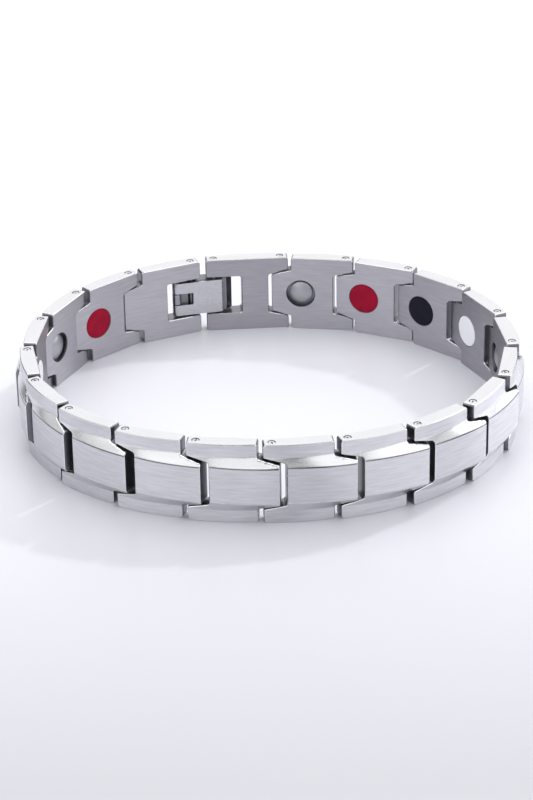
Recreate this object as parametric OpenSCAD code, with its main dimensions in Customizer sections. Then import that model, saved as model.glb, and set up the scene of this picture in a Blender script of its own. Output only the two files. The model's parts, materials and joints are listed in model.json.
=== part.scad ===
// Stainless steel link bracelet, lying on its side as a closed oval loop.
// Plate links with a raised centre band hinge on split pins, a round inset sits in the
// wrist side of each, and a fold-over clasp closes the loop at the back.
// Millimetres. X is the long way across the oval and Z stands up along the pins. The
// loop rests on Z = 0, and the middle of its outline is the origin.

/* [Loop] */
// Number of links between the two end links
links = 18; // [14:2:18]
// Distance from pin to pin along the chain
pitch = 11; // [10.8:0.1:12]
// Long axis of the oval over its short axis
oval_ratio = 1.125; // [1:0.005:1.25]
// Squareness of the oval, 2 being an ellipse
oval_power = 2.14; // [2:0.02:2.4]
// Distance between the two pins that the clasp joins
clasp_span = 3.9; // [3.7:0.1:4.4]

/* [Link] */
// Width of the bracelet, which is its height as it lies
width = 12.7; // [12.2:0.1:13.4]
// Flat inner face, measured inward from the pin line
inner_face = 1.05; // [1:0.05:1.4]
// Crown of the side rails, measured outward from the pin line
rail_crown = 1.4; // [1.2:0.05:1.6]
// Crown of the raised band, measured outward from the pin line
band_crown = 2.2; // [1.9:0.05:2.5]
// Radius of the rails' curved outer face
rail_radius = 29; // [26:0.5:40]
// Radius of the band's curved outer face
band_radius = 34; // [30:1:60]
// Height of the band's flat between its two bevels
band_width = 5.7; // [5.2:0.1:6.2]
// How far a bevel falls for each millimetre of width
bevel_fall = 0.52; // [0.44:0.02:0.6]
// Reach of a fork prong past its pin
fork_reach = 1.3; // [1.15:0.05:1.4]
// Gap between the rails of neighbouring links
rail_gap = 0.7; // [0.5:0.05:0.9]
// Reach of the tongue past its pin
tongue_reach = 1.25; // [1.1:0.05:1.35]
// Gap between a tongue's tip and the root of the fork it sits in
root_gap = 0.75; // [0.5:0.05:1.1]
// Width of the tongue at its tip
tongue_tip = 6.6; // [6:0.1:7]
// Width of the tongue where it leaves the rails
tongue_root = 8.2; // [7.8:0.1:8.6]
// Clearance beside the tongue
side_gap = 0.28; // [0.12:0.01:0.32]
// Rounding of the rails' four corners
corner_radius = 0.35; // [0.25:0.05:0.6]

/* [Pins] */
// Radius of a link pin
pin_radius = 0.5; // [0.4:0.01:0.52]
// Radial clearance of a pin in its bores
pin_clearance = 0.06; // [0.02:0.01:0.08]
// Radius of the hollow down the middle of a rolled pin
pin_hollow = 0.16; // [0.1:0.01:0.3]
// Width of the slit along a rolled pin
pin_slit = 0.12; // [0.08:0.01:0.25]
// Depth of each pin end below the face of the rail
pin_sink = 0.08; // [0.05:0.01:0.2]

/* [Insets] */
// Distance from a link's fork pin to the middle of its inset
inset_place = 7.4; // [6.9:0.1:7.6]
// Diameter of the flat coloured insets
inset_dia = 5; // [4.7:0.1:5.4]
// Diameter of the socket round a magnet
magnet_socket_dia = 4.75; // [4.4:0.05:5]
// Diameter of the domed magnet
magnet_dia = 3.8; // [3.4:0.1:4.2]
// Depth of the sockets
socket_depth = 0.95; // [0.8:0.05:1.2]
// Height of the magnet's dome
dome_height = 0.5; // [0.3:0.05:0.6]
// Clearance round and under an inset
inset_gap = 0.03; // [0.02:0.01:0.06]

/* [Clasp] */
// Width of the clasp's base and cover
clasp_width = 5.8; // [5.4:0.1:6]
// Width of the notches that hold the clasp in the end links
clasp_notch = 6.6; // [6.5:0.1:7]
// Distance from an end link's clasp pin to the root of its notch
clasp_room = 4.6; // [4.4:0.1:4.8]
// Distance from the hooked pin to the cover's hinge
hinge_ahead = 2.5; // [2.1:0.05:2.65]
// Radius of the cover's hinge knuckles
knuckle_radius = 0.75; // [0.65:0.05:0.8]
// Height of the base's single middle knuckle
knuckle_width = 1.85; // [1.6:0.05:2.2]
// Radius of the hinge pin
hinge_pin_radius = 0.35; // [0.25:0.01:0.4]
// Clearance of the hinge's moving faces
hinge_gap = 0.08; // [0.06:0.01:0.12]
// Thickness of the cover plate
cover_thickness = 0.65; // [0.55:0.05:0.8]
// Reach of the cover's free end past the pivot pin
cover_reach = 1.3; // [1:0.05:1.6]
// Length of the window in the cover, from its hinge
window_length = 2.65; // [2.4:0.05:2.8]
// Reach of the base past the pivot pin
base_reach = 3.1; // [2.8:0.1:3.4]
// Outer face of the base, measured outward from the pin line
base_outer = 1.7; // [1.4:0.05:1.9]
// Inner face of the base, measured inward from the pin line
base_inner = 0.5; // [0.45:0.05:0.6]

/* [Hidden] */
// Links that only close the loop: the first carries the clasp's pivot, the last its hook
last = links + 1;
front = links / 2 + 1;
half_width = width / 2;
band_half = band_width / 2;
overcut = 1;
outer_limit = 3;
arc_steps = 4;
search_steps = 26;
soft_edge = 0.3;
small_corner = 0.22;
root_corner = 0.45;
slit_turn = 137.5;
hooked_slit = 60;
pivot_slit = 200;
hook_clearance = 0.1;
hinge_pin_clearance = 0.05;
hinge_pin_sink = 0.05;
base_step = 0.7;
round_fn = 96;

// Elevation of a link, from its fork pin at 0 to its tongue pin at one pitch
rail_end = pitch - fork_reach - rail_gap;
tongue_end = pitch + tongue_reach;
fork_root = tongue_reach + root_gap;
tongue_taper = (tongue_root - tongue_tip) / 2 / (tongue_end - rail_end);
rail_middle = (rail_end - fork_reach) / 2;
band_middle = (fork_root + tongue_end) / 2;
pivot_link_end = pitch + fork_reach;
pivot_link_radius = 60;
bore_radius = pin_radius + pin_clearance;

// Places in the clasp's own frame, from the pivot pin towards the hooked pin
hinge_x = clasp_span + hinge_ahead;
cover_low = base_inner + hinge_gap;
cover_high = cover_low + cover_thickness;
hinge_y = cover_high - knuckle_radius;
window_half = knuckle_width / 2 + hinge_gap;
hook_radius = pin_radius + hook_clearance;
hinge_bore = hinge_pin_radius + hinge_pin_clearance;
hinge_pin_length = clasp_width - 2 * hinge_pin_sink;

// The colours of the insets repeat in this order round the loop
INSET_KINDS = ["magnet", "red_inset", "black_inset", "white_inset"];
INSET_COLOURS = ["dimgray", "crimson", "midnightblue", "aliceblue"];
STEEL = "silver";

function two_digits(n) = n < 10 ? str("0", n) : str(n);
function link_name(j) = j == 0 ? "pivot_end_link" : j == last ? "hook_end_link"
    : str("link_", two_digits(j));
function inset_kind(j) = (j - 1) % len(INSET_KINDS);
function inset_name(j) = str(INSET_KINDS[inset_kind(j)], "_", two_digits(j));
function pin_name(j) = str("link_pin_", two_digits(j));

// The oval, and a walk along it in equal chords of one pitch from the front
function signed_power(v, p) = sign(v) * pow(abs(v), p);
function oval(half, angle) = [
    half * signed_power(cos(angle), 2 / oval_power),
    half / oval_ratio * signed_power(sin(angle), 2 / oval_power)
];
function step_angle(half, from, low, high, n) =
    let (mid = (low + high) / 2)
    n == 0 ? mid
    : norm(oval(half, mid) - oval(half, from)) > pitch
        ? step_angle(half, from, low, mid, n - 1)
        : step_angle(half, from, mid, high, n - 1);
function walk(half, angle, way, n) = n == 0 ? [angle]
    : concat([angle], walk(half, step_angle(half, angle, angle, angle + way * 40,
        search_steps), way, n - 1));

// Pins from the clasp's pivot pin, number -1, to its hooked pin, number last
function pin_line(half) =
    let (
        right_side = walk(half, -90, 1, front + 1),
        left_side = walk(half, -90, -1, last - front)
    )
    [for (i = [front + 1:-1:0]) oval(half, right_side[i]),
     for (i = [1:last - front]) oval(half, left_side[i])];
function open_span(half) = let (line = pin_line(half)) norm(line[len(line) - 1] - line[0]);
function fit_half(low, high, n) =
    let (mid = (low + high) / 2)
    n == 0 ? mid
    : open_span(mid) > clasp_span ? fit_half(low, mid, n - 1) : fit_half(mid, high, n - 1);

// The oval's size is the one whose loop leaves exactly the clasp's span open
loop_length = (links + 2) * pitch + clasp_span;
round_half = loop_length / 360 * 180 / PI;
PIN_LINE = pin_line(fit_half(round_half, round_half * 1.2, search_steps));
function pin_at(j) = PIN_LINE[j + 1];
function heading(from, to) = atan2(to.y - from.y, to.x - from.x);

module at_link(j) {
    translate([pin_at(j).x, pin_at(j).y, half_width])
        rotate([0, 0, heading(pin_at(j), pin_at(j - 1))])
            children();
}

module at_clasp() {
    translate([pin_at(-1).x, pin_at(-1).y, half_width])
        rotate([0, 0, heading(pin_at(-1), pin_at(last))])
            children();
}

// Rounds each corner [x, y, radius] of an outline with a short arc
function unit(v) = v / norm(v);
function flat(p) = [p.x, p.y];
function turn_between(a, b) = ((b - a + 540) % 360) - 180;
function corner_arc(before, at, after, radius) =
    radius == 0 ? [at]
    : let (
        a = unit(before - at),
        b = unit(after - at),
        half_angle = acos(a * b) / 2,
        middle = at + unit(a + b) * radius / sin(half_angle),
        start = at + a * radius / tan(half_angle) - middle,
        finish = at + b * radius / tan(half_angle) - middle,
        first = atan2(start.y, start.x),
        sweep = turn_between(first, atan2(finish.y, finish.x))
    )
    [for (k = [0:arc_steps]) middle + radius * [
        cos(first + sweep * k / arc_steps),
        sin(first + sweep * k / arc_steps)
    ]];
function rounded(corners) = let (n = len(corners)) [
    for (i = [0:n - 1])
        for (p = corner_arc(flat(corners[(i + n - 1) % n]), flat(corners[i]),
            flat(corners[(i + 1) % n]), corners[i][2])) p
];
function mirrored(upper) = concat(upper,
    [for (i = [len(upper) - 1:-1:0]) [upper[i].x, -upper[i].y, upper[i][2]]]);

// Half outlines in elevation, from the middle of the fork's root to the tongue's tip
function tongue_half(x) = tongue_tip / 2 + tongue_taper * (tongue_end - x);
function fork_corners() = [
    [fork_root, tongue_half(fork_root + pitch) + side_gap, root_corner],
    [-fork_reach, tongue_half(pitch - fork_reach) + side_gap, small_corner],
    [-fork_reach, half_width, corner_radius]
];
function tongue_corners() = [
    [rail_end, half_width, corner_radius],
    [rail_end, tongue_root / 2, small_corner],
    [tongue_end, tongue_tip / 2, small_corner]
];
function clasp_fork_corners(root, mouth) = [
    [root, clasp_notch / 2, root_corner],
    [mouth, clasp_notch / 2, small_corner],
    [mouth, half_width, corner_radius]
];
LINK_OUTLINE = rounded(mirrored(concat(fork_corners(), tongue_corners())));
HOOK_LINK_OUTLINE = rounded(mirrored(concat(
    clasp_fork_corners(clasp_room, -fork_reach), tongue_corners())));
PIVOT_CORNERS = clasp_fork_corners(pitch - clasp_room, pivot_link_end);
PIVOT_LINK_OUTLINE = rounded(mirrored(concat(
    fork_corners(), [PIVOT_CORNERS[2], PIVOT_CORNERS[1], PIVOT_CORNERS[0]])));

// A bar with a flat inner face and a crowned, bevelled outer one, cut to an outline
module plate_link(outline, far_end, rail_x, rail_r, band_x, band_r) {
    band_rim = band_r - bevel_fall * (half_width - band_half);
    intersection() {
        rotate([90, 0, 0])
            linear_extrude(height = 2 * outer_limit + 2, center = true)
                polygon(outline);
        linear_extrude(height = width + overcut, center = true)
            polygon(rounded([
                [-fork_reach, inner_face, soft_edge],
                [far_end, inner_face, soft_edge],
                [far_end, -outer_limit, 0],
                [-fork_reach, -outer_limit, 0]
            ]));
        union() {
            translate([rail_x, rail_r - rail_crown, 0])
                cylinder(r = rail_r, h = width, center = true, $fn = round_fn);
            translate([band_x, band_r - band_crown, 0])
                rotate_extrude($fn = round_fn)
                    polygon([
                        [0, -half_width], [band_rim, -half_width],
                        [band_r, -band_half], [band_r, band_half],
                        [band_rim, half_width], [0, half_width]
                    ]);
        }
    }
}

module pin_bore(x) {
    translate([x, 0, 0])
        cylinder(r = bore_radius, h = width + overcut, center = true, $fn = round_fn);
}

module inset_socket(radius) {
    translate([inset_place, inner_face - socket_depth, 0])
        rotate([-90, 0, 0])
            cylinder(r = radius, h = socket_depth + overcut, $fn = round_fn);
}

module link(j) {
    socket = inset_kind(j) == 0 ? magnet_socket_dia / 2 : inset_dia / 2 + inset_gap;
    color(STEEL)
        at_link(j)
            difference() {
                plate_link(LINK_OUTLINE, tongue_end, rail_middle, rail_radius,
                    band_middle, band_radius);
                pin_bore(0);
                pin_bore(pitch);
                inset_socket(socket);
            }
}

// The end link whose open pin the clasp hooks over
module hook_end_link() {
    color(STEEL)
        at_link(last)
            difference() {
                plate_link(HOOK_LINK_OUTLINE, tongue_end, rail_middle, rail_radius,
                    band_middle, band_radius);
                pin_bore(0);
                pin_bore(pitch);
            }
}

// The end link that carries the clasp, forked at both ends
module pivot_end_link() {
    color(STEEL)
        at_link(0)
            difference() {
                plate_link(PIVOT_LINK_OUTLINE, pivot_link_end, pitch / 2,
                    pivot_link_radius, pitch / 2, pivot_link_radius);
                pin_bore(0);
                pin_bore(pitch);
            }
}

module flat_inset() {
    translate([inset_place, inner_face - socket_depth + inset_gap, 0])
        rotate([-90, 0, 0])
            cylinder(d = inset_dia, h = socket_depth - 2 * inset_gap, $fn = round_fn);
}

module domed_magnet() {
    rim = socket_depth - 2 * inset_gap - dome_height;
    dome_radius = (pow(magnet_dia / 2, 2) + pow(dome_height, 2)) / (2 * dome_height);
    translate([inset_place, inner_face - socket_depth + inset_gap, 0])
        rotate([-90, 0, 0])
            intersection() {
                cylinder(d = magnet_dia, h = socket_depth, $fn = round_fn);
                translate([0, 0, rim + dome_height - dome_radius])
                    sphere(r = dome_radius, $fn = round_fn);
            }
}

module inset(j) {
    color(INSET_COLOURS[inset_kind(j)])
        at_link(j)
            if (inset_kind(j) == 0) domed_magnet(); else flat_inset();
}

// A pin rolled from strip, with its slit turned a little further in each link
module rolled_pin(at, slit_angle) {
    translate([at.x, at.y, pin_sink])
        rotate([0, 0, slit_angle])
            difference() {
                cylinder(r = pin_radius, h = width - 2 * pin_sink, $fn = round_fn);
                translate([0, 0, -overcut])
                    cylinder(r = pin_hollow, h = width + 2 * overcut, $fn = round_fn);
                translate([0, -pin_slit / 2, -overcut])
                    cube([pin_radius + overcut, pin_slit, width + 2 * overcut]);
            }
}

module link_pin(j) {
    color("gray") rolled_pin(pin_at(j), slit_turn * j);
}

function arc_points(centre, radius, from, to, steps) = [
    for (k = [0:steps]) centre + radius * [
        cos(from + (to - from) * k / steps),
        sin(from + (to - from) * k / steps)
    ]
];

// A shape drawn in the clasp's plan and raised to a height about its middle
module raised(height, points) {
    linear_extrude(height = height, center = true)
        polygon(points);
}

module at_hinge() {
    translate([hinge_x, hinge_y, 0])
        children();
}

// Pivots for good on one end link, and hooks over the open pin of the other
module clasp_base() {
    relief_height = clasp_width / 2 - knuckle_width / 2 + overcut;
    relief_middle = knuckle_width / 2 + relief_height / 2;
    color("darkgray")
        at_clasp()
            difference() {
                union() {
                    raised(clasp_width, rounded([
                        [-base_reach, -base_outer, small_corner],
                        [hinge_x + knuckle_radius / 3, -base_outer, root_corner],
                        [hinge_x + knuckle_radius / 3, base_inner, 0],
                        [-cover_reach - base_step, base_inner, small_corner],
                        [-base_reach, -base_inner, small_corner]
                    ]));
                    at_hinge()
                        cylinder(r = knuckle_radius, h = knuckle_width, center = true,
                            $fn = round_fn);
                }
                for (side = [-1, 1])
                    at_hinge()
                        translate([0, 0, side * relief_middle])
                            cylinder(r = knuckle_radius + hinge_gap, h = relief_height,
                                center = true, $fn = round_fn);
                at_hinge()
                    cylinder(r = hinge_bore, h = clasp_width + overcut, center = true,
                        $fn = round_fn);
                cylinder(r = bore_radius, h = clasp_width + overcut, center = true,
                    $fn = round_fn);
                raised(clasp_width + overcut, concat(
                    arc_points([clasp_span, 0], hook_radius, 180, 360, 16),
                    [[clasp_span + hook_radius, base_inner + overcut],
                     [clasp_span - hook_radius, base_inner + overcut]]
                ));
            }
}

// Folds over the hooked pin, and opens towards the wrist about its own hinge
module clasp_cover() {
    color("lightgray")
        at_clasp()
            difference() {
                raised(clasp_width, concat(
                    rounded([
                        [hinge_x - knuckle_radius, cover_low, 0],
                        [-cover_reach, cover_low, 0],
                        [-cover_reach, cover_high, soft_edge],
                        [hinge_x - knuckle_radius, cover_high, 0]
                    ]),
                    arc_points([hinge_x, hinge_y], knuckle_radius, 90, -180, 24)
                ));
                translate([hinge_x - window_length, cover_low - overcut * 2, -window_half])
                    cube([window_length + 2 * knuckle_radius, cover_thickness + 4 * overcut,
                        2 * window_half]);
                at_hinge()
                    cylinder(r = hinge_bore, h = clasp_width + overcut, center = true,
                        $fn = round_fn);
            }
}

// The hooked pin, the pivot pin and the cover's hinge pin
module clasp_pins() {
    color("gray") {
        rolled_pin(pin_at(last), hooked_slit);
        rolled_pin(pin_at(-1), pivot_slit);
        at_clasp()
            at_hinge()
                cylinder(r = hinge_pin_radius, h = hinge_pin_length, center = true,
                    $fn = round_fn);
    }
}

pivot_end_link();
for (j = [1:links]) link(j);
hook_end_link();
for (j = [1:links]) inset(j);
for (j = [0:links]) link_pin(j);
clasp_base();
clasp_cover();
clasp_pins();
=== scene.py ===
"""Looks of a stainless steel link bracelet that lies on its side as a closed oval loop.

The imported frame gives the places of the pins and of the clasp's hinge. Every piece is
modelled in millimetres in its own link's or clasp's axes, and a Placement then sets it
into the frame in metres.
"""

from __future__ import annotations

import json
import logging
import math
from collections.abc import Callable, Iterable, Sequence
from dataclasses import dataclass, field
from enum import Enum
from typing import ClassVar

import bmesh
import bpy
from mathutils import Matrix, Vector
from mathutils.geometry import delaunay_2d_cdt

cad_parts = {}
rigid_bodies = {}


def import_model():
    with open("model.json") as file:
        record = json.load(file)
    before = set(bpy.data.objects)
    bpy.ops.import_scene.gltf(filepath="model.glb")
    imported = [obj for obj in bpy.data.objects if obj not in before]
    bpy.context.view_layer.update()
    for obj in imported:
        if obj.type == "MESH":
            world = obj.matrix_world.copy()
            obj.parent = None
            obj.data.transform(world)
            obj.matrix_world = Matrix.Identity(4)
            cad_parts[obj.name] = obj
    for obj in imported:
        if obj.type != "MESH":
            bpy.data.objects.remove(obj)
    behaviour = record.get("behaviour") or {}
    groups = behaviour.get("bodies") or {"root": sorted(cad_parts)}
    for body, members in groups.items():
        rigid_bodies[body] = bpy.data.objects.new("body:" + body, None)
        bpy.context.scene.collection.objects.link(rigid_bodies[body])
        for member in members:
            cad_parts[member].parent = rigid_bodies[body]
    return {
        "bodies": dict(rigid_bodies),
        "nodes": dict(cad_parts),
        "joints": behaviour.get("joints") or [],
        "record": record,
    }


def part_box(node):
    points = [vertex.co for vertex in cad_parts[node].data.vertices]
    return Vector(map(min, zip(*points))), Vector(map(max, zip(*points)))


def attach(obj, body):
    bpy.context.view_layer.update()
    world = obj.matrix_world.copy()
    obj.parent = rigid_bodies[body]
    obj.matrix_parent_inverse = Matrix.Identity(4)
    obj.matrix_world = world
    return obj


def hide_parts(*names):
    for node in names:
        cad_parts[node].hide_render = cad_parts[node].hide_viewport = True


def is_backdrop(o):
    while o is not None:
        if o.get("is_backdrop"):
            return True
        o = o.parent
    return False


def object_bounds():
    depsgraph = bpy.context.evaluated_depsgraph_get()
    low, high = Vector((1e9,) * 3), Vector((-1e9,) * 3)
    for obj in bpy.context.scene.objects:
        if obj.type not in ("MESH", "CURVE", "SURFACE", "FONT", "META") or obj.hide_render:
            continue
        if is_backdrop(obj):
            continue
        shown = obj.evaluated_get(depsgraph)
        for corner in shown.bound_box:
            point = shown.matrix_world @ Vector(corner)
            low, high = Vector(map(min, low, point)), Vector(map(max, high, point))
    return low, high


LOG = logging.getLogger("bracelet")

MM = 0.001
PLACE = "place"
GRAIN_MAP = "grain_map"

LINKS = 18
LAST = LINKS + 1

Point = tuple[float, float, float]
Colour = tuple[float, float, float]
Height = Callable[[float, float], float]


class Zone(Enum):
    """How a steel face was finished, or the painted shade that darkens its colour. The value is
    its material slot.
    """

    BRUSHED = 0
    POLISHED = 1
    SATIN = 2
    # Dark steel of cut walls, bores, sockets and faces under the clasp: partly a duller cut
    # finish, partly painted shade in gaps and recesses.
    CUT = 3
    # The wrist side: brushed steel made darker, painted shade.
    WRIST_SHADE = 4
    # A dark strip along the band's upper crease: painted shade and painted dark reflection.
    EDGE = 5


class Inset(Enum):
    """The four insets, in the order in which they repeat round the loop."""

    MAGNET = "magnet"
    RED = "red_inset"
    BLACK = "black_inset"
    WHITE = "white_inset"

    @classmethod
    def of_link(cls, number: int) -> Inset:
        """Give the kind of inset that a link holds, by the link's number from 1."""
        kinds = list(cls)
        return kinds[(number - 1) % len(kinds)]


# Outlines and mesh building


def clamped(value: float, low: float, high: float) -> float:
    """Hold a value between two limits."""
    return max(low, min(high, value))


def spoke(radius: float, angle: float) -> tuple[float, float]:
    """Give the point of a circle about the origin at an angle in radians."""
    return radius * math.cos(angle), radius * math.sin(angle)


@dataclass(frozen=True)
class Corner:
    """A corner of an outline, in millimetres, and the radius that rounds it."""

    across: float
    up: float
    radius: float = 0.0

    def point(self) -> Vector:
        """Give the corner's sharp point."""
        return Vector((self.across, self.up))

    def mirror(self) -> Corner:
        """Give the corner's image below the middle line."""
        return Corner(self.across, -self.up, self.radius)


class Outline:
    """A closed outline, clockwise, of straight edges that meet in rounded corners."""

    SMALLEST_RADIUS = 0.03
    ARC_STEPS = 4

    def __init__(self, corners: Sequence[Corner], arc_steps: int = ARC_STEPS) -> None:
        """Keep the corners, clockwise, and the steps of each rounded one."""
        self.corners = list(corners)
        self.arc_steps = arc_steps

    @classmethod
    def mirrored(cls, upper: Sequence[Corner]) -> Outline:
        """Close the upper corners, clockwise, with their image below the middle line."""
        return cls([*upper, *(corner.mirror() for corner in reversed(upper))])

    def _edges_at(self, index: int) -> tuple[Vector, Vector]:
        """Give the unit directions into and out of a corner.

        Args:
            index: The corner's index.

        Returns:
            The direction of the edge before the corner, and of the one after it.
        """
        here = self.corners[index].point()
        before = self.corners[index - 1].point()
        after = self.corners[(index + 1) % len(self.corners)].point()
        return (here - before).normalized(), (after - here).normalized()

    def inset(self, distance: float) -> Outline:
        """Move every edge inward, and keep the number of points.

        Args:
            distance: How far the edges move, in millimetres.

        Returns:
            The smaller outline, with tighter outer and wider inner corners.
        """
        moved = []
        for index, corner in enumerate(self.corners):
            into, out = self._edges_at(index)
            side_in = Vector((into.y, -into.x))
            side_out = Vector((out.y, -out.x))
            shift = (side_in + side_out) * distance / (1 + side_in.dot(side_out))
            place = corner.point() + shift
            turn = into.x * out.y - into.y * out.x
            radius = corner.radius - distance if turn < 0 else corner.radius + distance
            radius = max(radius, self.SMALLEST_RADIUS) if corner.radius > 0 else 0.0
            moved.append(Corner(place.x, place.y, radius))
        return Outline(moved, self.arc_steps)

    def points(self) -> list[Vector]:
        """Walk the outline.

        Returns:
            Its points, clockwise, with each rounded corner as a short arc.
        """
        walk: list[Vector] = []
        for index, corner in enumerate(self.corners):
            if corner.radius <= 0:
                walk.append(corner.point())
                continue
            into, out = self._edges_at(index)
            half = math.acos(clamped(-into.dot(out), -1.0, 1.0)) / 2
            reach = corner.radius / math.tan(half)
            start = corner.point() - into * reach
            finish = corner.point() + out * reach
            inward = (out - into).normalized()
            middle = corner.point() + inward * corner.radius / math.sin(half)
            first = math.atan2(start.y - middle.y, start.x - middle.x)
            final = math.atan2(finish.y - middle.y, finish.x - middle.x)
            sweep = (final - first + math.pi) % (2 * math.pi) - math.pi
            for step in range(self.arc_steps + 1):
                angle = first + sweep * step / self.arc_steps
                walk.append(middle + Vector(spoke(1.0, angle)) * corner.radius)
        return walk


def filler(zone: Zone) -> bpy.types.Material:
    """Give the stand-in material that holds a zone's slot while a mesh is cut."""
    name = f"filler_{zone.name}"
    return bpy.data.materials.get(name) or bpy.data.materials.new(name)


def fill_slots(
    mesh: bpy.types.Mesh, materials: Sequence[bpy.types.Material]
) -> None:
    """Give a mesh its material slots, and keep the slot number of every face.

    Args:
        mesh: The mesh.
        materials: The materials, in the order of the slots.
    """
    numbers = [0] * len(mesh.polygons)
    mesh.polygons.foreach_get("material_index", numbers)
    mesh.materials.clear()
    for material in materials:
        mesh.materials.append(material)
    mesh.polygons.foreach_set("material_index", numbers)


def store_places(mesh: bpy.types.Mesh, scale: float, shift: float) -> None:
    """Store each point's own place in millimetres, for the finishes to follow.

    Args:
        mesh: The mesh.
        scale: Millimetres in each of its units.
        shift: A shift along Z that gives each piece its own grain.
    """
    places = mesh.attributes.new(PLACE, "FLOAT_VECTOR", "POINT")
    values: list[float] = []
    for vertex in mesh.vertices:
        here = vertex.co * scale
        values.extend((here.x, here.y, here.z + shift))
    places.data.foreach_set("vector", values)


@dataclass
class Shell:
    """Points and faces of a closed shape in millimetres, with a zone for each face."""

    points: list[Point] = field(default_factory=list)
    faces: list[tuple[int, ...]] = field(default_factory=list)
    zones: list[Zone] = field(default_factory=list)

    def add_points(self, points: Iterable[Point]) -> int:
        """Add points, and give the index of the first of them."""
        first = len(self.points)
        self.points.extend(points)
        return first

    def add_face(self, corners: Iterable[int], zone: Zone) -> None:
        """Add one face, by its points anticlockwise as seen from outside."""
        self.faces.append(tuple(corners))
        self.zones.append(zone)

    def merge(self, other: Shell) -> None:
        """Add another shell's points and faces to this one."""
        first = self.add_points(other.points)
        for corners, zone in zip(other.faces, other.zones):
            self.add_face((first + index for index in corners), zone)

    def moved(self, matrix: Matrix) -> Shell:
        """Give the shell after a movement without mirroring."""
        points = [tuple(matrix @ Vector(point)) for point in self.points]
        return Shell(points, list(self.faces), list(self.zones))

    def shifted(self, x: float, y: float, z: float = 0.0) -> Shell:
        """Give the shell after a shift."""
        return self.moved(Matrix.Translation((x, y, z)))

    def mesh(self, name: str) -> bpy.types.Mesh:
        """Make a mesh of the shell.

        Args:
            name: The mesh's name.

        Returns:
            The mesh, still in millimetres.
        """
        made = bpy.data.meshes.new(name)
        made.from_pydata(self.points, [], self.faces)
        fill_slots(made, [filler(zone) for zone in Zone])
        made.polygons.foreach_set("material_index", [zone.value for zone in self.zones])
        made.update()
        return made


def revolved(profile: Sequence[tuple[float, float]], zone: Zone, steps: int) -> Shell:
    """Turn a profile round the Z axis into a closed shape.

    Args:
        profile: (radius, height) pairs from the lower end to the upper one. An end is
            flat, or a pole where its radius is zero.
        zone: The finish of the whole shape.
        steps: Steps round the axis.

    Returns:
        The closed shape.
    """
    shell = Shell()
    rings: list[list[int]] = []
    angles = [2 * math.pi * step / steps for step in range(steps)]
    for radius, height in profile:
        if radius == 0:
            rings.append([shell.add_points([(0.0, 0.0, height)])] * steps)
            continue
        first = shell.add_points([(*spoke(radius, angle), height) for angle in angles])
        rings.append([first + step for step in range(steps)])
    if profile[0][0] > 0:
        shell.add_face(rings[0][::-1], zone)
    for low, high in zip(rings, rings[1:]):
        for step in range(steps):
            ahead = (step + 1) % steps
            ring = (low[step], low[ahead], high[ahead], high[step])
            shell.add_face(dict.fromkeys(ring), zone)
    if profile[-1][0] > 0:
        shell.add_face(rings[-1], zone)
    return shell


def rod(radius: float, half: float, steps: int, edge: float = 0.0) -> Shell:
    """Give a satin rod along Z.

    Args:
        radius: Its radius.
        half: Half its length.
        steps: Steps round the axis.
        edge: Width of the chamfer round each end.

    Returns:
        The closed rod.
    """
    profile = [(radius, -half), (radius, half)]
    if edge > 0:
        low, high = -half + edge, half - edge
        inner = radius - edge
        profile = [(inner, -half), (radius, low), (radius, high), (inner, half)]
    return revolved(profile, Zone.SATIN, steps)


def prism(outline: Outline, half: float, chamfer: float, zone: Zone) -> Shell:
    """Raise a plan outline into a bar along Z with chamfered ends.

    Args:
        outline: The outline in the XY plane.
        half: Half the bar's height.
        chamfer: Width of the polished chamfer round each end, or 0.
        zone: The finish of the sides and ends.

    Returns:
        The closed bar.
    """
    edge = outline.points()
    levels = [(edge, -half), (edge, half)]
    if chamfer > 0:
        rim = outline.inset(chamfer).points()
        levels = [(edge, -half + chamfer), (edge, half - chamfer)]
        levels = [(rim, -half), *levels, (rim, half)]
    shell = Shell()
    rings = []
    for points, height in levels:
        rings.append(shell.add_points([(p.x, p.y, height) for p in points]))
    count = len(edge)
    for level, (low, high) in enumerate(zip(rings, rings[1:])):
        side = Zone.POLISHED if chamfer > 0 and level != 1 else zone
        for index in range(count):
            ahead = (index + 1) % count
            shell.add_face((low + index, high + index, high + ahead, low + ahead), side)
    shell.add_face((rings[0] + index for index in range(count)), zone)
    shell.add_face((rings[-1] + index for index in reversed(range(count))), zone)
    return shell


def modified(mesh: bpy.types.Mesh, kind: str, **settings: object) -> bpy.types.Mesh:
    """Apply one modifier to a mesh, which is then removed.

    Args:
        mesh: The mesh.
        kind: The modifier's type.
        **settings: Values for its properties.

    Returns:
        The new mesh.
    """
    body = bpy.data.objects.new("blank", mesh)
    bpy.context.scene.collection.objects.link(body)
    modifier = body.modifiers.new("step", kind)
    for name, value in settings.items():
        setattr(modifier, name, value)
    depsgraph = bpy.context.evaluated_depsgraph_get()
    result = bpy.data.meshes.new_from_object(body.evaluated_get(depsgraph))
    bpy.data.objects.remove(body)
    bpy.data.meshes.remove(mesh)
    return result


def cut(mesh: bpy.types.Mesh, cutters: Iterable[Shell]) -> bpy.types.Mesh:
    """Cut shapes that lie apart from each other out of a mesh.

    Args:
        mesh: The mesh to cut, which is then removed.
        cutters: The closed shapes to take away.

    Returns:
        The cut mesh, whose new faces have the cutters' zones.
    """
    joined = Shell()
    for cutter in cutters:
        joined.merge(cutter)
    data = joined.mesh("cutter")
    tool = bpy.data.objects.new("cutter", data)
    bpy.context.scene.collection.objects.link(tool)
    result = modified(
        mesh, "BOOLEAN", operation="DIFFERENCE", solver="EXACT", object=tool
    )
    bpy.data.objects.remove(tool)
    bpy.data.meshes.remove(data)
    return result


# Node groups and finishes


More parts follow.
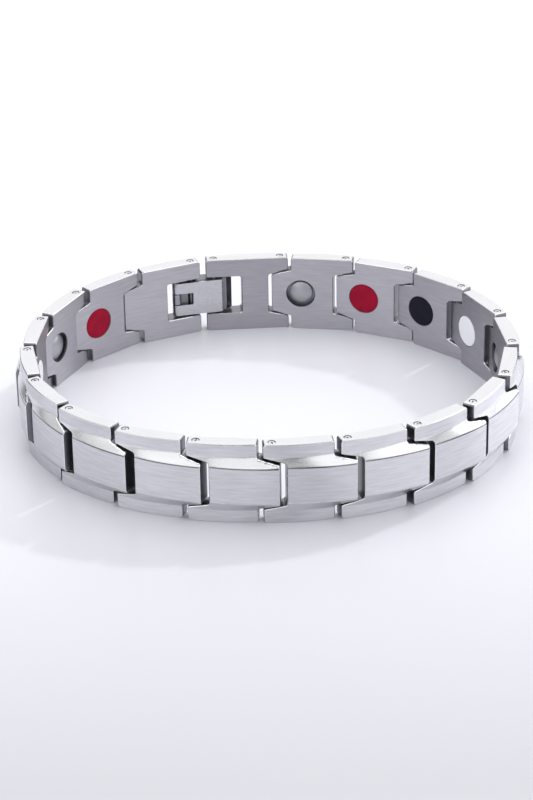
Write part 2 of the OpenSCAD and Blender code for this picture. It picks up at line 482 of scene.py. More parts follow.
class Nodes:
    """Builds a node tree with short calls."""

    def __init__(self, tree: bpy.types.NodeTree) -> None:
        """Keep the tree that the nodes go into."""
        self.tree = tree

    def add(self, kind: str, **settings: object) -> bpy.types.Node:
        """Add a node.

        Args:
            kind: The node's type.
            **settings: Values for the node's own properties.

        Returns:
            The new node.
        """
        node = self.tree.nodes.new(kind)
        for name, value in settings.items():
            setattr(node, name, value)
        return node

    def link(self, source: bpy.types.NodeSocket, target: bpy.types.NodeSocket) -> None:
        """Link two sockets."""
        self.tree.links.new(source, target)

    def feed(self, target: bpy.types.NodeSocket, value: object) -> None:
        """Link a socket to an input, or set a plain value on it.

        Args:
            target: The input socket.
            value: A socket to link, or a value to set.
        """
        if isinstance(value, bpy.types.NodeSocket):
            self.link(value, target)
        else:
            target.default_value = value

    def math(self, operation: str, *values: object) -> bpy.types.NodeSocket:
        """Add a Math node.

        Args:
            operation: What it works out.
            *values: Its inputs, sockets or numbers.

        Returns:
            Its output socket.
        """
        node = self.add("ShaderNodeMath", operation=operation)
        for target, value in zip(node.inputs, values):
            self.feed(target, value)
        return node.outputs[0]

    def noise(
        self, place: bpy.types.NodeSocket, detail: float
    ) -> bpy.types.NodeSocket:
        """Add a Noise Texture node of scale 1.

        Args:
            place: The coordinates.
            detail: Its detail.

        Returns:
            Its value socket.
        """
        node = self.add("ShaderNodeTexNoise")
        self.link(place, node.inputs["Vector"])
        node.inputs["Scale"].default_value = 1.0
        node.inputs["Detail"].default_value = detail
        return node.outputs["Fac"]

    def mapped(
        self, value: bpy.types.NodeSocket, middle: float, spread: float
    ) -> bpy.types.NodeSocket:
        """Spread a value from 0 to 1 evenly about a new middle.

        Args:
            value: The value.
            middle: What a half becomes.
            spread: How far 1 lies above the middle, and 0 below it.

        Returns:
            The new value's socket.
        """
        node = self.add("ShaderNodeMapRange")
        self.link(value, node.inputs["Value"])
        node.inputs["To Min"].default_value = middle - spread
        node.inputs["To Max"].default_value = middle + spread
        return node.outputs["Result"]

    def mixed(
        self, first: bpy.types.NodeSocket, second: bpy.types.NodeSocket, share: float
    ) -> bpy.types.NodeSocket:
        """Mix two values.

        Args:
            first: The first value.
            second: The second value.
            share: The first one's share, from 0 to 1.

        Returns:
            The mixture's socket.
        """
        most = self.math("MULTIPLY", first, share)
        return self.math("ADD", most, self.math("MULTIPLY", second, 1 - share))


class GroupLibrary:
    """The node groups that the finishes share, each built once."""

    BROAD_SHARE = 3.2
    DEPTH_SHARE = 0.4
    STREAK_DETAIL = 2.0
    HAZE_DETAIL = 4.0

    def __init__(self) -> None:
        """Build the groups."""
        self.brush_grain = self._brush_grain()
        self.soft_haze = self._soft_haze()

    @staticmethod
    def _new(
        name: str, inputs: dict[str, float], outputs: Sequence[str]
    ) -> tuple[bpy.types.NodeTree, Nodes, bpy.types.Node, bpy.types.Node]:
        """Start a group whose first input is the place on the piece.

        Args:
            name: The group's name.
            inputs: Start value of each further input, by name.
            outputs: Names of the outputs, all plain values.

        Returns:
            The group, its builder, and its input and output nodes.
        """
        group = bpy.data.node_groups.new(name, "ShaderNodeTree")
        sockets = group.interface
        sockets.new_socket("Place", in_out="INPUT", socket_type="NodeSocketVector")
        for label, value in inputs.items():
            kind = "NodeSocketFloat"
            socket = sockets.new_socket(label, in_out="INPUT", socket_type=kind)
            socket.default_value = value
        for label in outputs:
            sockets.new_socket(label, in_out="OUTPUT", socket_type="NodeSocketFloat")
        nodes = Nodes(group)
        return group, nodes, nodes.add("NodeGroupInput"), nodes.add("NodeGroupOutput")

    def _brush_grain(self) -> bpy.types.NodeTree:
        """Build the brushed grain: long fine streaks along a link.

        Returns:
            The group, which gives broad and fine streaks from 0 to 1.
        """
        inputs = {"Streak Length": 9.0, "Streak Width": 0.2}
        group, nodes, given, out = self._new("brush_grain", inputs, ("Broad", "Fine"))
        parts = nodes.add("ShaderNodeSeparateXYZ")
        nodes.link(given.outputs["Place"], parts.inputs[0])
        length = given.outputs["Streak Length"]
        for label, share in (("Broad", self.BROAD_SHARE), ("Fine", 1.0)):
            width = nodes.math("MULTIPLY", given.outputs["Streak Width"], share)
            along = nodes.math("DIVIDE", parts.outputs["X"], length)
            depth = nodes.math("DIVIDE", parts.outputs["Y"], width)
            depth = nodes.math("MULTIPLY", depth, self.DEPTH_SHARE)
            across = nodes.math("DIVIDE", parts.outputs["Z"], width)
            place = nodes.add("ShaderNodeCombineXYZ")
            for axis, value in zip("XYZ", (along, depth, across)):
                nodes.link(value, place.inputs[axis])
            streaks = nodes.noise(place.outputs[0], self.STREAK_DETAIL)
            nodes.link(streaks, out.inputs[label])
        return group

    def _soft_haze(self) -> bpy.types.NodeTree:
        """Build the haze of handling: soft clouds with a few finer ones.

        Returns:
            The group, which gives the haze from 0 to 1.
        """
        group, nodes, given, out = self._new("soft_haze", {"Cloud Size": 4.0}, ("Haze",))
        scaled = nodes.add("ShaderNodeVectorMath", operation="SCALE")
        nodes.link(given.outputs["Place"], scaled.inputs["Vector"])
        share = nodes.math("DIVIDE", 1.0, given.outputs["Cloud Size"])
        nodes.link(share, scaled.inputs["Scale"])
        haze = nodes.noise(scaled.outputs[0], self.HAZE_DETAIL)
        nodes.link(haze, out.inputs["Haze"])
        return group


class Finish:
    """A material in the making, with the nodes that every finish starts from."""

    def __init__(self, name: str, groups: GroupLibrary) -> None:
        """Start a material.

        Args:
            name: The material's name.
            groups: The shared node groups.
        """
        self.groups = groups
        self.material = bpy.data.materials.new(name)
        self.material.use_nodes = True
        tree = self.material.node_tree
        tree.nodes.clear()
        self.nodes = Nodes(tree)
        self.shader = self.nodes.add("ShaderNodeBsdfPrincipled")
        output = self.nodes.add("ShaderNodeOutputMaterial")
        self.nodes.link(self.shader.outputs["BSDF"], output.inputs["Surface"])
        place = self.nodes.add("ShaderNodeAttribute", attribute_name=PLACE)
        self.place = place.outputs["Vector"]

    def streaks(
        self, length: float, width: float
    ) -> tuple[bpy.types.NodeSocket, bpy.types.NodeSocket]:
        """Place the shared brushed grain.

        Args:
            length: Length of its streaks, in millimetres.
            width: Width of the fine ones.

        Returns:
            The sockets of the broad and of the fine streaks.
        """
        node = self.nodes.add("ShaderNodeGroup", node_tree=self.groups.brush_grain)
        self.nodes.link(self.place, node.inputs["Place"])
        node.inputs["Streak Length"].default_value = length
        node.inputs["Streak Width"].default_value = width
        return node.outputs["Broad"], node.outputs["Fine"]

    def haze(self, size: float) -> bpy.types.NodeSocket:
        """Place the shared haze.

        Args:
            size: Size of its clouds, in millimetres.

        Returns:
            Its socket.
        """
        node = self.nodes.add("ShaderNodeGroup", node_tree=self.groups.soft_haze)
        self.nodes.link(self.place, node.inputs["Place"])
        node.inputs["Cloud Size"].default_value = size
        return node.outputs["Haze"]

    def colour(self, colour: Colour, share: bpy.types.NodeSocket) -> None:
        """Colour the surface.

        Args:
            colour: The linear colour.
            share: What it is multiplied by over the surface.
        """
        node = self.nodes.add("ShaderNodeVectorMath", operation="SCALE")
        node.inputs["Vector"].default_value = colour
        self.nodes.link(share, node.inputs["Scale"])
        self.nodes.link(node.outputs["Vector"], self.shader.inputs["Base Color"])

    def set(self, **values: object) -> None:
        """Set plain values on the shader's sockets, with _ for a space in a name."""
        for name, value in values.items():
            self.shader.inputs[name.replace("_", " ")].default_value = value

    def bump(self, height: bpy.types.NodeSocket, strength: float, depth: float) -> None:
        """Raise the surface by a small relief.

        Args:
            height: The relief, from 0 to 1.
            strength: The Bump node's strength.
            depth: Height of the relief, in millimetres.
        """
        node = self.nodes.add("ShaderNodeBump")
        node.inputs["Strength"].default_value = strength
        node.inputs["Distance"].default_value = depth * MM
        self.nodes.link(height, node.inputs["Height"])
        self.nodes.link(node.outputs["Normal"], self.shader.inputs["Normal"])


@dataclass(frozen=True)
class Steel:
    """Bare stainless steel: brushed along the link, satin or polished, and darker copies that
    paint shade into cut walls, recesses, creases and the wrist side.
    """

    name: str
    colour: Colour
    roughness: float
    streak_length: float
    streak_width: float
    streak_tone: float
    streak_depth: float
    anisotropy: float = 0.0

    BROAD_PART: ClassVar[float] = 0.6
    ROUGH_SPREAD: ClassVar[float] = 0.15
    HAZE_SIZE: ClassVar[float] = 5.0
    HAZE_SPREAD: ClassVar[float] = 0.03
    QUARTER_TURN: ClassVar[float] = 0.25
    BUMP: ClassVar[float] = 0.35

    def build(self, groups: GroupLibrary) -> bpy.types.Material:
        """Build the material.

        Args:
            groups: The shared node groups.

        Returns:
            The material.
        """
        finish = Finish(self.name, groups)
        nodes = finish.nodes
        broad, fine = finish.streaks(self.streak_length, self.streak_width)
        streaks = nodes.mixed(broad, fine, self.BROAD_PART)
        finish.colour(self.colour, nodes.mapped(streaks, 1.0, self.streak_tone))
        spread = -self.roughness * self.ROUGH_SPREAD
        own = nodes.mapped(streaks, self.roughness, spread)
        handled = nodes.mapped(finish.haze(self.HAZE_SIZE), 0.0, self.HAZE_SPREAD)
        rough = nodes.math("ADD", own, handled)
        nodes.link(rough, finish.shader.inputs["Roughness"])
        finish.set(Metallic=1.0)
        if self.anisotropy > 0:
            finish.set(
                Anisotropic=self.anisotropy, Anisotropic_Rotation=self.QUARTER_TURN
            )
            tangent = nodes.add(
                "ShaderNodeTangent", direction_type="UV_MAP", uv_map=GRAIN_MAP
            )
            nodes.link(tangent.outputs[0], finish.shader.inputs["Tangent"])
        finish.bump(fine, self.BUMP, self.streak_depth)
        return finish.material


@dataclass(frozen=True)
class Resin:
    """Glossy resin or ceramic of a round inset, with a little depth and cloud."""

    name: str
    colour: Colour
    roughness: float
    cloud: float
    depth: float

    CLOUD_SIZE: ClassVar[float] = 1.6
    SPECK_SIZE: ClassVar[float] = 0.35
    CLOUD_PART: ClassVar[float] = 0.7
    ROUGH_SPREAD: ClassVar[float] = 0.2
    SCATTER: ClassVar[Colour] = (1.0, 0.5, 0.4)
    SCATTER_DEPTH: ClassVar[float] = 0.4 * MM
    SPECULAR: ClassVar[float] = 0.06
    COAT: ClassVar[float] = 0.03
    COAT_ROUGHNESS: ClassVar[float] = 0.08
    BUMP: ClassVar[float] = 0.15
    SPECK_HEIGHT: ClassVar[float] = 0.004

    def build(self, groups: GroupLibrary) -> bpy.types.Material:
        """Build the material.

        Args:
            groups: The shared node groups.

        Returns:
            The material.
        """
        finish = Finish(self.name, groups)
        nodes = finish.nodes
        cloud = finish.haze(self.CLOUD_SIZE)
        speck = finish.haze(self.SPECK_SIZE)
        mixed = nodes.mixed(cloud, speck, self.CLOUD_PART)
        finish.colour(self.colour, nodes.mapped(mixed, 1.0, self.cloud))
        spread = self.roughness * self.ROUGH_SPREAD
        rough = nodes.mapped(cloud, self.roughness, spread)
        nodes.link(rough, finish.shader.inputs["Roughness"])
        finish.set(
            Subsurface_Weight=self.depth,
            Subsurface_Radius=self.SCATTER,
            Subsurface_Scale=self.SCATTER_DEPTH,
            Specular_IOR_Level=self.SPECULAR,
            Coat_Weight=self.COAT,
            Coat_Roughness=self.COAT_ROUGHNESS,
        )
        finish.bump(speck, self.BUMP, self.SPECK_HEIGHT)
        return finish.material


@dataclass(frozen=True)
class SatinFloor:
    """Pale satin table surface under the bracelet, with painted shade that darkens it towards the
    camera.
    """

    name: str = "pale_floor"
    colour: Colour = (0.67, 0.675, 0.725)
    roughness: float = 0.34
    rough_spread: float = 0.02
    cloud_size: float = 60.0
    cloud_spread: float = 0.015
    near_start: float = -15.0
    near_edge: float = -100.0
    near_painted_shade: float = 0.72

    def build(self, groups: GroupLibrary) -> bpy.types.Material:
        """Build the material.

        Args:
            groups: The shared node groups.

        Returns:
            The material.
        """
        finish = Finish(self.name, groups)
        nodes = finish.nodes
        haze = finish.haze(self.cloud_size)
        parts = nodes.add("ShaderNodeSeparateXYZ")
        nodes.link(finish.place, parts.inputs[0])
        # Painted shade: the floor's colour falls off towards the camera.
        past = nodes.math("SUBTRACT", parts.outputs["Y"], self.near_start)
        near = nodes.math("DIVIDE", past, self.near_edge - self.near_start)
        near = nodes.math("MINIMUM", nodes.math("MAXIMUM", near, 0.0), 1.0)
        fall = nodes.math("MULTIPLY", near, self.near_painted_shade - 1)
        cloud = nodes.mapped(haze, 1.0, self.cloud_spread)
        tone = nodes.math("MULTIPLY", nodes.math("ADD", fall, 1.0), cloud)
        finish.colour(self.colour, tone)
        rough = nodes.mapped(haze, self.roughness, self.rough_spread)
        nodes.link(rough, finish.shader.inputs["Roughness"])
        return finish.material


class Finishes:
    """Every material of the bracelet, each list in the order of the zones."""

    # Name, colour and roughness, then the streaks' length, width, tone and depth, and
    # the anisotropy of the brushed faces.
    LINK = (
        Steel("brushed_steel", (0.71, 0.705, 0.745), 0.36, 4.0, 0.12, 0.26, 0.008, 0.9),
        Steel("polished_steel", (0.80, 0.80, 0.82), 0.27, 6.0, 0.3, 0.02, 0.0),
        Steel("satin_steel", (0.68, 0.68, 0.70), 0.22, 5.0, 0.25, 0.05, 0.003),
        # Dark cut steel: partly a duller cut finish, partly painted shade in gaps and recesses.
        Steel("cut_steel_and_painted_shade", (0.21, 0.21, 0.23), 0.34, 3.0, 0.3, 0.10, 0.003),
        # Wrist-side brushed steel, darker than the outside: painted shade.
        Steel("wrist_steel_painted_shade", (0.485, 0.475, 0.515), 0.40, 4.0, 0.14, 0.24, 0.006, 0.9),
        # Dark steel for the band's upper crease line: painted shade and painted dark reflection.
        Steel("crease_painted_shade", (0.27, 0.265, 0.285), 0.12, 4.0, 0.3, 0.05, 0.0),
    )
    CLASP = (
        Steel("clasp_satin", (0.52, 0.515, 0.54), 0.27, 4.0, 0.22, 0.06, 0.003),
        Steel("clasp_polish", (0.58, 0.58, 0.61), 0.15, 4.0, 0.3, 0.03, 0.0),
        Steel("clasp_plain", (0.34, 0.335, 0.36), 0.24, 4.0, 0.3, 0.08, 0.003),
    )
    PIN = Steel("pin_steel", (0.66, 0.66, 0.69), 0.25, 1.0, 0.2, 0.08, 0.004)
    DOME = Steel("magnet_face", (0.44, 0.44, 0.47), 0.4, 2.0, 0.3, 0.04, 0.0)
    RESINS = {
        Inset.RED: Resin("red_resin", (0.36, 0.006, 0.032), 0.22, 0.55, 0.15),
        Inset.BLACK: Resin("black_ceramic", (0.012, 0.012, 0.022), 0.25, 0.35, 0.0),
        Inset.WHITE: Resin("white_ceramic", (0.94, 0.95, 0.98), 0.3, 0.02, 0.0),
    }

    def __init__(self) -> None:
        """Build the groups and the materials."""
        self.groups = GroupLibrary()
        self.link = [steel.build(self.groups) for steel in self.LINK]
        self.clasp = [steel.build(self.groups) for steel in self.CLASP]
        self.clasp += self.link[len(self.CLASP) :]
        self.pin = [self.PIN.build(self.groups)] * len(Zone)
        # Pin faces under the clasp take the dark steel: painted shade.
        self.pin[Zone.CUT.value] = self.link[Zone.CUT.value]
        self.insets = {Inset.MAGNET: [self.DOME.build(self.groups)] * len(Zone)}
        for kind, resin in self.RESINS.items():
            self.insets[kind] = [resin.build(self.groups)]


# Places in the frame


@dataclass(frozen=True)
class Placement:
    """Where a link or the clasp sits: its own origin and heading in the frame."""

    x: float
    y: float
    height: float
    heading: float = 0.0

    def matrix(self) -> Matrix:
        """Give the way from own millimetres to the frame's metres."""
        move = Matrix.Translation(Vector((self.x, self.y, self.height)) * MM)
        turn = Matrix.Rotation(self.heading, 4, "Z")
        return move @ turn @ Matrix.Scale(MM, 4)


class Chain:
    """The places of the pins, the links and the clasp, read from the frame."""

    def __init__(self, frame: dict, clasp: ClaspSizes, lowest: Vector, highest: Vector) -> None:
        """Read the frame.

        Args:
            clasp: The clasp's sizes.
            lowest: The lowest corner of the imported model, in metres.
            highest: Its highest corner.
        """
        self.half_width = (highest.z - lowest.z) / 2 / MM
        self.pins = [self._pin(f"link_pin_{number:02d}") for number in range(LAST)]
        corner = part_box("clasp_pins")[1] / MM
        self.pivot = Vector((corner.x, corner.y)) - Vector((1, 1)) * clasp.pin_radius
        hinge = Vector(frame["joints"][0]["pos_m"]) / MM
        reach = Vector((hinge.x, hinge.y)) - self.pivot
        lean = math.atan2(clasp.hinge_y, clasp.hinge_x)
        self.clasp_heading = math.atan2(reach.y, reach.x) - lean
        ahead = Vector((math.cos(self.clasp_heading), math.sin(self.clasp_heading)))
        self.hooked = self.pivot + ahead * clasp.span

    @staticmethod
    def _pin(node: str) -> Vector:
        """Give the middle of a pin's node in plan, in millimetres."""
        low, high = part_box(node)
        return Vector(((low.x + high.x) / 2, (low.y + high.y) / 2)) / MM

    def pin(self, number: int) -> Vector:
        """Give a pin's place in plan.

        Args:
            number: 0 to 18 along the chain, -1 for the clasp's pivot pin, and 19 for
                the pin that it hooks over.

        Returns:
            The point, in millimetres.
        """
        if number < 0:
            return self.pivot
        return self.hooked if number == LAST else self.pins[number]

    def link(self, number: int) -> Placement:
        """Give a link's place: its fork pin, heading to the pin before it.

        Args:
            number: The link's number, from 0 to 19.

        Returns:
            The placement.
        """
        here = self.pin(number)
        before = self.pin(number - 1)
        heading = math.atan2(before.y - here.y, before.x - here.x)
        return Placement(here.x, here.y, self.half_width, heading)

    def clasp(self) -> Placement:
        """Give the clasp's place."""
        return Placement(self.pivot.x, self.pivot.y, self.half_width, self.clasp_heading)

    def upright(self, number: int) -> Placement:
        """Give a pin's place, with no turn."""
        here = self.pin(number)
        return Placement(here.x, here.y, self.half_width)


class Workshop:
    """Sets finished meshes into the frame as pieces."""

    SHARP = math.radians(32)
    NORMAL_WEIGHT = 80
    GRAIN_SHIFT = 37.0
    MAP_SCALE = 0.05
    MAP_MIDDLE = 0.5

    def __init__(self, finishes: Finishes) -> None:
        """Keep the materials, and count the pieces from 0."""
        self.finishes = finishes
        self.count = 0

    def place(
        self,
        mesh: bpy.types.Mesh,
        node: str,
        form: str,
        placement: Placement,
        materials: Sequence[bpy.types.Material],
        slot: str,
        body: str = "bracelet",
    ) -> None:
        """Set a mesh into the frame, dress it and tie it to its body.

        Args:
            mesh: The mesh, in its own millimetres.
            node: The node that it stands for.
            form: The word that its own name adds to the node's.
            placement: Where it goes.
            materials: Its materials, one for each zone.
            slot: The record's material slot; not used.
            body: The body that it rides on.
        """
        self.count += 1
        mesh.name = f"{node}_{form}"
        store_places(mesh, 1.0, self.GRAIN_SHIFT * self.count)
        self._map_grain(mesh)
        mesh.transform(placement.matrix())
        fill_slots(mesh, materials)
        mesh.polygons.foreach_set("use_smooth", [True] * len(mesh.polygons))
        mesh.set_sharp_from_angle(angle=self.SHARP)
        piece = bpy.data.objects.new(mesh.name, mesh)
        bpy.context.scene.collection.objects.link(piece)
        normals = piece.modifiers.new("even_normals", "WEIGHTED_NORMAL")
        normals.keep_sharp = True
        normals.weight = self.NORMAL_WEIGHT
        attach(piece, body)
        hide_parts(node)
        LOG.info("%s: %d faces, rides on %s", piece.name, len(mesh.polygons), body)

    def _map_grain(self, mesh: bpy.types.Mesh) -> None:
        """Lay the map that the grain follows, with U along the link.

        Args:
            mesh: The mesh, in its own millimetres.
        """
        flat: list[float] = []
        for loop in mesh.loops:
            here = mesh.vertices[loop.vertex_index].co
            for value in (here.x, here.z - here.y):
                flat.append(value * self.MAP_SCALE + self.MAP_MIDDLE)
        mesh.uv_layers.new(name=GRAIN_MAP).data.foreach_set("uv", flat)


# The links


@dataclass
class PlateLink:
    """A bar with a fork and a tongue, a raised centre band, two bevels and two rails.

    X runs from the fork's pin to the tongue's, Z stands up from the middle of the
    width, and Y points to the wrist. All sizes are millimetres.
    """

    half_width: float
    pitch: float = 11.0
    inner_face: float = 1.05
    rail_crown: float = 1.4
    rail_radius: float = 29.0
    band_crown: float = 2.2
    band_radius: float = 34.0
    band_half: float = 2.85
    bevel_end: float = 4.35
    fork_reach: float = 1.3
    rail_gap: float = 0.7
    tongue_reach: float = 1.25
    root_gap: float = 0.75
    tongue_tip: float = 6.6
    tongue_root: float = 8.2
    side_gap: float = 0.28
    corner_radius: float = 0.35
    small_corner: float = 0.22
    root_corner: float = 0.45
    chamfer: float = 0.09
    crease: float = 0.1
    support: float = 0.25
    settle: float = 1.6
    grid_step: float = 0.35
    bevel_parts: int = 5
    end_lean: float = 0.5
    bore_radius: float = 0.56
    bore_rim: float = 0.05
    inset_place: float = 7.4
    socket_depth: float = 0.95
    socket_rim: float = 0.06
    socket_past: float = 0.5
    magnet_socket: float = 2.375
    disc_socket: float = 2.53
    clasp_notch: float = 6.6
    clasp_room: float = 4.6
    end_radius: float = 60.0
    past: float = 1.0
    round_steps: int = 48

    WELD: ClassVar[float] = 1e-5
    TINY: ClassVar[float] = 1e-9

    def __post_init__(self) -> None:
        """Work out the places along the link."""
        self.rail_end = self.pitch - self.fork_reach - self.rail_gap
        self.tongue_end = self.pitch + self.tongue_reach
        self.fork_root = self.tongue_reach + self.root_gap
        spread = (self.tongue_root - self.tongue_tip) / 2
        self.taper = spread / (self.tongue_end - self.rail_end)
        self.rail_middle = (self.rail_end - self.fork_reach) / 2
        self.band_middle = (self.fork_root + self.tongue_end) / 2
        self.far_fork = self.pitch + self.fork_reach

    def _tongue_half(self, along: float) -> float:
        """Give half the tongue's width at a place along the link."""
        return self.tongue_tip / 2 + self.taper * (self.tongue_end - along)

    def _notch(
        self, root: float, root_half: float, mouth: float, mouth_half: float
    ) -> list[Corner]:
        """Give the upper corners of a notch between two prongs, from its root.

        Args:
            root: Where the notch ends.
            root_half: Half its width there.
            mouth: Where the prongs end.
            mouth_half: Half the notch's width there.

        Returns:
            The corners.
        """
        return [
            Corner(root, root_half, self.root_corner),
            Corner(mouth, mouth_half, self.small_corner),
            Corner(mouth, self.half_width, self.corner_radius),
        ]

    def _fork(self) -> list[Corner]:
        """Give the upper corners of the fork, from its root."""
        root = self._tongue_half(self.fork_root + self.pitch) + self.side_gap
        mouth = self._tongue_half(self.pitch - self.fork_reach) + self.side_gap
        return self._notch(self.fork_root, root, -self.fork_reach, mouth)

    def _tongue(self) -> list[Corner]:
        """Give the upper corners of the tongue, to its tip."""
        return [
            Corner(self.rail_end, self.half_width, self.corner_radius),
            Corner(self.rail_end, self.tongue_root / 2, self.small_corner),
            Corner(self.tongue_end, self.tongue_tip / 2, self.small_corner),
        ]

    def _outline(self, number: int) -> Outline:
        """Give a link's outline in elevation.

        Args:
            number: The link's number.

        Returns:
            The outline, clockwise.
        """
        half = self.clasp_notch / 2
        if number == 0:
            far = self._notch(self.pitch - self.clasp_room, half, self.far_fork, half)
            return Outline.mirrored([*self._fork(), *reversed(far)])
        near = self._fork()
        if number == LAST:
            near = self._notch(self.clasp_room, half, -self.fork_reach, half)
        return Outline.mirrored([*near, *self._tongue()])

    @staticmethod
    def _arch(radius: float, middle: float, along: float) -> float:
        """Give how far an arc has sunk below its crown at a place along the link."""
        return radius - math.sqrt(radius**2 - (along - middle) ** 2)

    def _settled(self, along: float, stop: float) -> float:
        """Hold a place at a stop, softly.

        Args:
            along: The place along the link.
            stop: The place that it comes to rest at.

        Returns:
            The place, or the stop if it lies well past it.
        """
        near = (along - stop + self.settle) / (2 * self.settle)
        if near <= 0:
            return along
        if near >= 1:
            return stop
        return min(along, stop) - self.settle * (1 - abs(2 * near - 1)) ** 2 / 4

    def _height(self, number: int) -> Height:
        """Give the outer face's height above the pin line.

        Args:
            number: The link's number.

        Returns:
            A function of the place along and up the link.
        """
        rail_middle, band_middle = self.rail_middle, self.band_middle
        rail_radius, band_radius = self.rail_radius, self.band_radius
        rail_stop = self.rail_end
        if number == 0:
            rail_middle = band_middle = self.pitch / 2
            rail_radius = band_radius = self.end_radius
            rail_stop = self.far_fork

        def height(along: float, up: float) -> float:
            """Give the height at a place along and up the link."""
            rail_at = self._settled(along, rail_stop)
            rail = self.rail_crown - self._arch(rail_radius, rail_middle, rail_at)
            band = self.band_crown - self._arch(band_radius, band_middle, along)
            share = (abs(up) - self.band_half) / (self.bevel_end - self.band_half)
            return band + (rail - band) * clamped(share, 0.0, 1.0)

        return height

    def _zone(self, up: float) -> Zone:
        """Give the finish of the outer face at a place up the link, with painted shade at the
        upper crease and on the lower bevel.
        """
        # A dark strip along the upper crease: painted shade and painted dark reflection.
        if abs(up - self.band_half) < self.crease:
            return Zone.EDGE
        if abs(up + self.band_half) < self.crease:
            return Zone.POLISHED
        if not self.band_half < abs(up) < self.bevel_end:
            return Zone.BRUSHED
        # The lower bevel takes dimmer satin steel where the upper one is polished: painted shade.
        return Zone.POLISHED if up > 0 else Zone.SATIN

    def _levels(self) -> list[float]:
        """Give the heights at which the outer face is divided, for its creases."""
        upper = [self.band_half - self.support, self.bevel_end + self.support]
        for crease in (self.band_half, self.bevel_end):
            upper += [crease - self.crease, crease + self.crease]
        rise = self.bevel_end - self.band_half
        for part in range(1, self.bevel_parts):
            upper.append(self.band_half + rise * part / self.bevel_parts)
        return sorted([*upper, *(-level for level in upper), 0.0])

    def _divided(
        self, rim: Sequence[Vector]
    ) -> tuple[list[Vector], list[tuple[int, ...]]]:
        """Fill an outline with triangles along the grid lines.

        Args:
            rim: The outline's points.

        Returns:
            The points, and the triangles inside the outline, anticlockwise.
        """
        left = min(point.x for point in rim) - self.past
        right = max(point.x for point in rim) + self.past
        top = self.half_width + self.past
        columns = int((right - left) / self.grid_step)
        places = [left + step * self.grid_step for step in range(1, columns)]
        lines = [((place, -top), (place, top)) for place in places]
        lines += [((left, level), (right, level)) for level in self._levels()]
        points = [point.copy() for point in rim]
        edges = []
        for start, finish in lines:
            edges.append((len(points), len(points) + 1))
            points += [Vector(start), Vector(finish)]
        face = list(reversed(range(len(rim))))
        found = delaunay_2d_cdt(points, edges, [face], 0, self.WELD)
        corners, _, triangles, _, _, owners = found
        kept = [tuple(t) for t, owner in zip(triangles, owners) if owner]
        return list(corners), kept

    def _rim_pairs(
        self,
        points: Sequence[Vector],
        triangles: Sequence[tuple[int, ...]],
        rim: Sequence[Vector],
        edge: Sequence[Vector],
    ) -> tuple[list[tuple[int, int]], dict[int, Vector]]:
        """Find the rim of the triangles, and the outline's point beside each rim point.

        Args:
            points: The triangles' points.
            triangles: The triangles.
            rim: The inset outline's points.
            edge: The full outline's points, one for each rim point.

        Returns:
            The rim's edges, in the triangles' own direction, and the outline's points
            by rim point.
        """
        sides = {(t[i], t[(i + 1) % 3]) for t in triangles for i in range(3)}
        border = sorted(side for side in sides if (side[1], side[0]) not in sides)
        beside: dict[int, Vector] = {}
        for index in {side[0] for side in border}:
            here = points[index]
            best = math.inf
            for start in range(len(rim)):
                ahead = (start + 1) % len(rim)
                run = rim[ahead] - rim[start]
                share = (here - rim[start]).dot(run) / max(run.length_squared, self.TINY)
                share = clamped(share, 0.0, 1.0)
                gap = (rim[start] + run * share - here).length
                if gap < best - self.TINY:
                    best = gap
                    beside[index] = edge[start].lerp(edge[ahead], share)
        return border, beside

    def _wall_zones(self, first: Vector, second: Vector) -> tuple[Zone, Zone]:
        """Give the finishes of a piece of the plate's wall, with the dark steel that paints shade
        into the gaps between links.

        Args:
            first: The outline's point at one end of the piece.
            second: The point at its other end.

        Returns:
            The finish of the wall, and of the chamfer on its wrist side.
        """
        if min(abs(first.y), abs(second.y)) > self.half_width - self.chamfer:
            return Zone.SATIN, Zone.POLISHED
        # Walls and wrist-side chamfers between links take the dark steel: a duller cut finish with
        # painted shade in the gaps.
        run = second - first
        across = abs(run.x) < abs(run.y) * self.end_lean
        return Zone.CUT, Zone.CUT if across else Zone.POLISHED

    def _plate(self, number: int) -> Shell:
        """Build a link's plate without its bores and socket.

        Args:
            number: The link's number.

        Returns:
            The closed plate.
        """
        outline = self._outline(number)
        height = self._height(number)
        edge = outline.points()
        rim = outline.inset(self.chamfer).points()
        points, triangles = self._divided(rim)
        border, beside = self._rim_pairs(points, triangles, rim, edge)
        shell = Shell()
        face: dict[int, int] = {}
        wrist: dict[int, int] = {}
        outer: dict[int, int] = {}
        inner: dict[int, int] = {}
        for index in sorted({index for triangle in triangles for index in triangle}):
            x, z = points[index]
            face[index] = shell.add_points([(x, -height(x, z), z)])
            wrist[index] = shell.add_points([(x, self.inner_face, z)])
        for index, (x, z) in beside.items():
            shoulder = -height(x, z) + self.chamfer
            outer[index] = shell.add_points([(x, shoulder, z)])
            inner[index] = shell.add_points([(x, self.inner_face - self.chamfer, z)])
        for triangle in triangles:
            middle = sum(points[index].y for index in triangle) / 3
            shell.add_face((face[index] for index in triangle), self._zone(middle))
            # The wrist face takes darker brushed steel: painted shade.
            shell.add_face((wrist[index] for index in reversed(triangle)), Zone.WRIST_SHADE)
        for first, second in border:
            wall, wrist_rim = self._wall_zones(beside[first], beside[second])
            for low, high, zone in (
                (face, outer, Zone.POLISHED),
                (outer, inner, wall),
                (inner, wrist, wrist_rim),
            ):
                ring = (low[second], low[first], high[first], high[second])
                shell.add_face(ring, zone)
        return shell

    def _pin_bore(self, along: float) -> Shell:
        """Give the shape of a pin's bore, with its broken edges.

        Args:
            along: The place along the link.

        Returns:
            The closed shape to cut away.
        """
        past = self.half_width + self.past
        rim = self.half_width - self.bore_rim
        bore = self.bore_radius
        flare = bore + past - rim
        profile = [(flare, -past), (bore, -rim), (bore, rim), (flare, past)]
